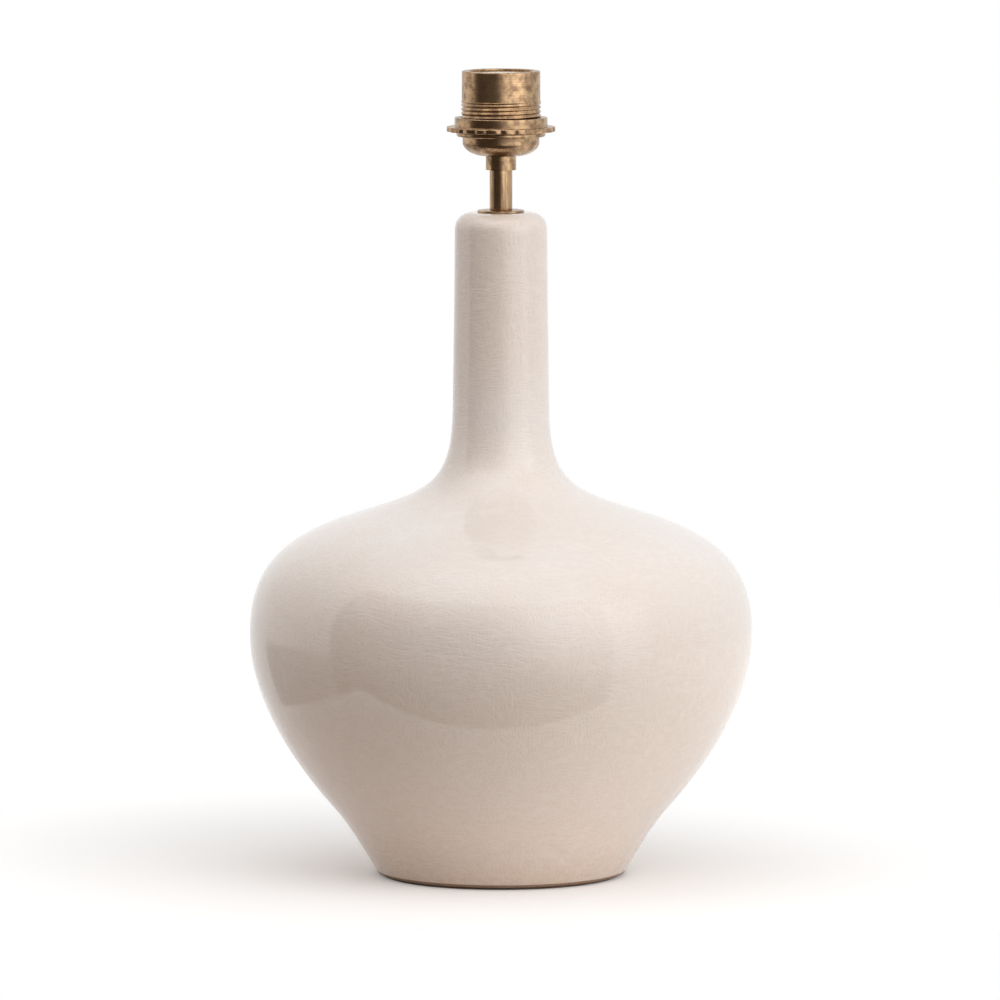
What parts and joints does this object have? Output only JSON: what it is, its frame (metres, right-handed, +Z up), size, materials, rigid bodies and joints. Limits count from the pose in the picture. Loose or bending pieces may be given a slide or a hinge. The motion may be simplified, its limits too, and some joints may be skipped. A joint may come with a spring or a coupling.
{
  "type": "table lamp base",
  "caption": "Table-lamp base: hollow crackle-glazed vase with a long neck, a short brass stem and a screw lampholder with a shade ring.",
  "frame": {"origin": "centre of the felt's underside, on the table", "axes": "+Z up along the vase's axis, +Y to the back, where the cable hole is"},
  "size_m": [0.25, 0.2499, 0.4],
  "materials": {
    "crackle_glaze": "gloss crackle glaze",
    "hardboard": "smooth hardboard",
    "felt": "brown felt",
    "rubber": "matte",
    "antique_brass": "aged, satin",
    "plated_steel": "zinc plated",
    "contact_brass": "bare, bright",
    "porcelain": "white glaze"
  },
  "bodies": {
    "lamp_base": {"ceramic_body": "crackle_glaze", "base_board": "hardboard", "base_felt": "felt", "cable_grommet": "rubber", "neck_plate": "antique_brass", "stem_tube": "antique_brass", "threaded_nipple": "plated_steel", "neck_cushion": "rubber", "clamp_washer": "plated_steel", "lock_washer": "plated_steel", "clamp_nut": "plated_steel", "holder_cap": "antique_brass", "cap_grub_screw": "plated_steel", "earth_tag": "contact_brass", "earth_screw": "plated_steel", "holder_skirt": "antique_brass", "insulating_sleeve": "porcelain", "contact_shell": "contact_brass", "shell_rivets": "contact_brass", "holder_insert": "porcelain", "contact_spring": "plated_steel", "live_terminal": "contact_brass", "live_strip_screw": "plated_steel", "neutral_terminal": "contact_brass", "terminal_screws": "plated_steel"},
    "shade_ring": {"shade_ring": "antique_brass"},
    "centre_contact": {"centre_contact": "contact_brass"}
  },
  "joints": [
    {"name": "shade_ring_travel", "type": "slide", "parent": "lamp_base", "child": "shade_ring", "axis": [0, 0, 1], "range_m": [0, 0.034]},
    {"name": "centre_contact_press", "type": "slide", "parent": "lamp_base", "child": "centre_contact", "axis": [0, 0, -1], "range_m": [0, 0.002], "stiffness_N_per_m": 800, "springref_m": -0.001, "deforming": ["contact_spring"]}
  ]
}
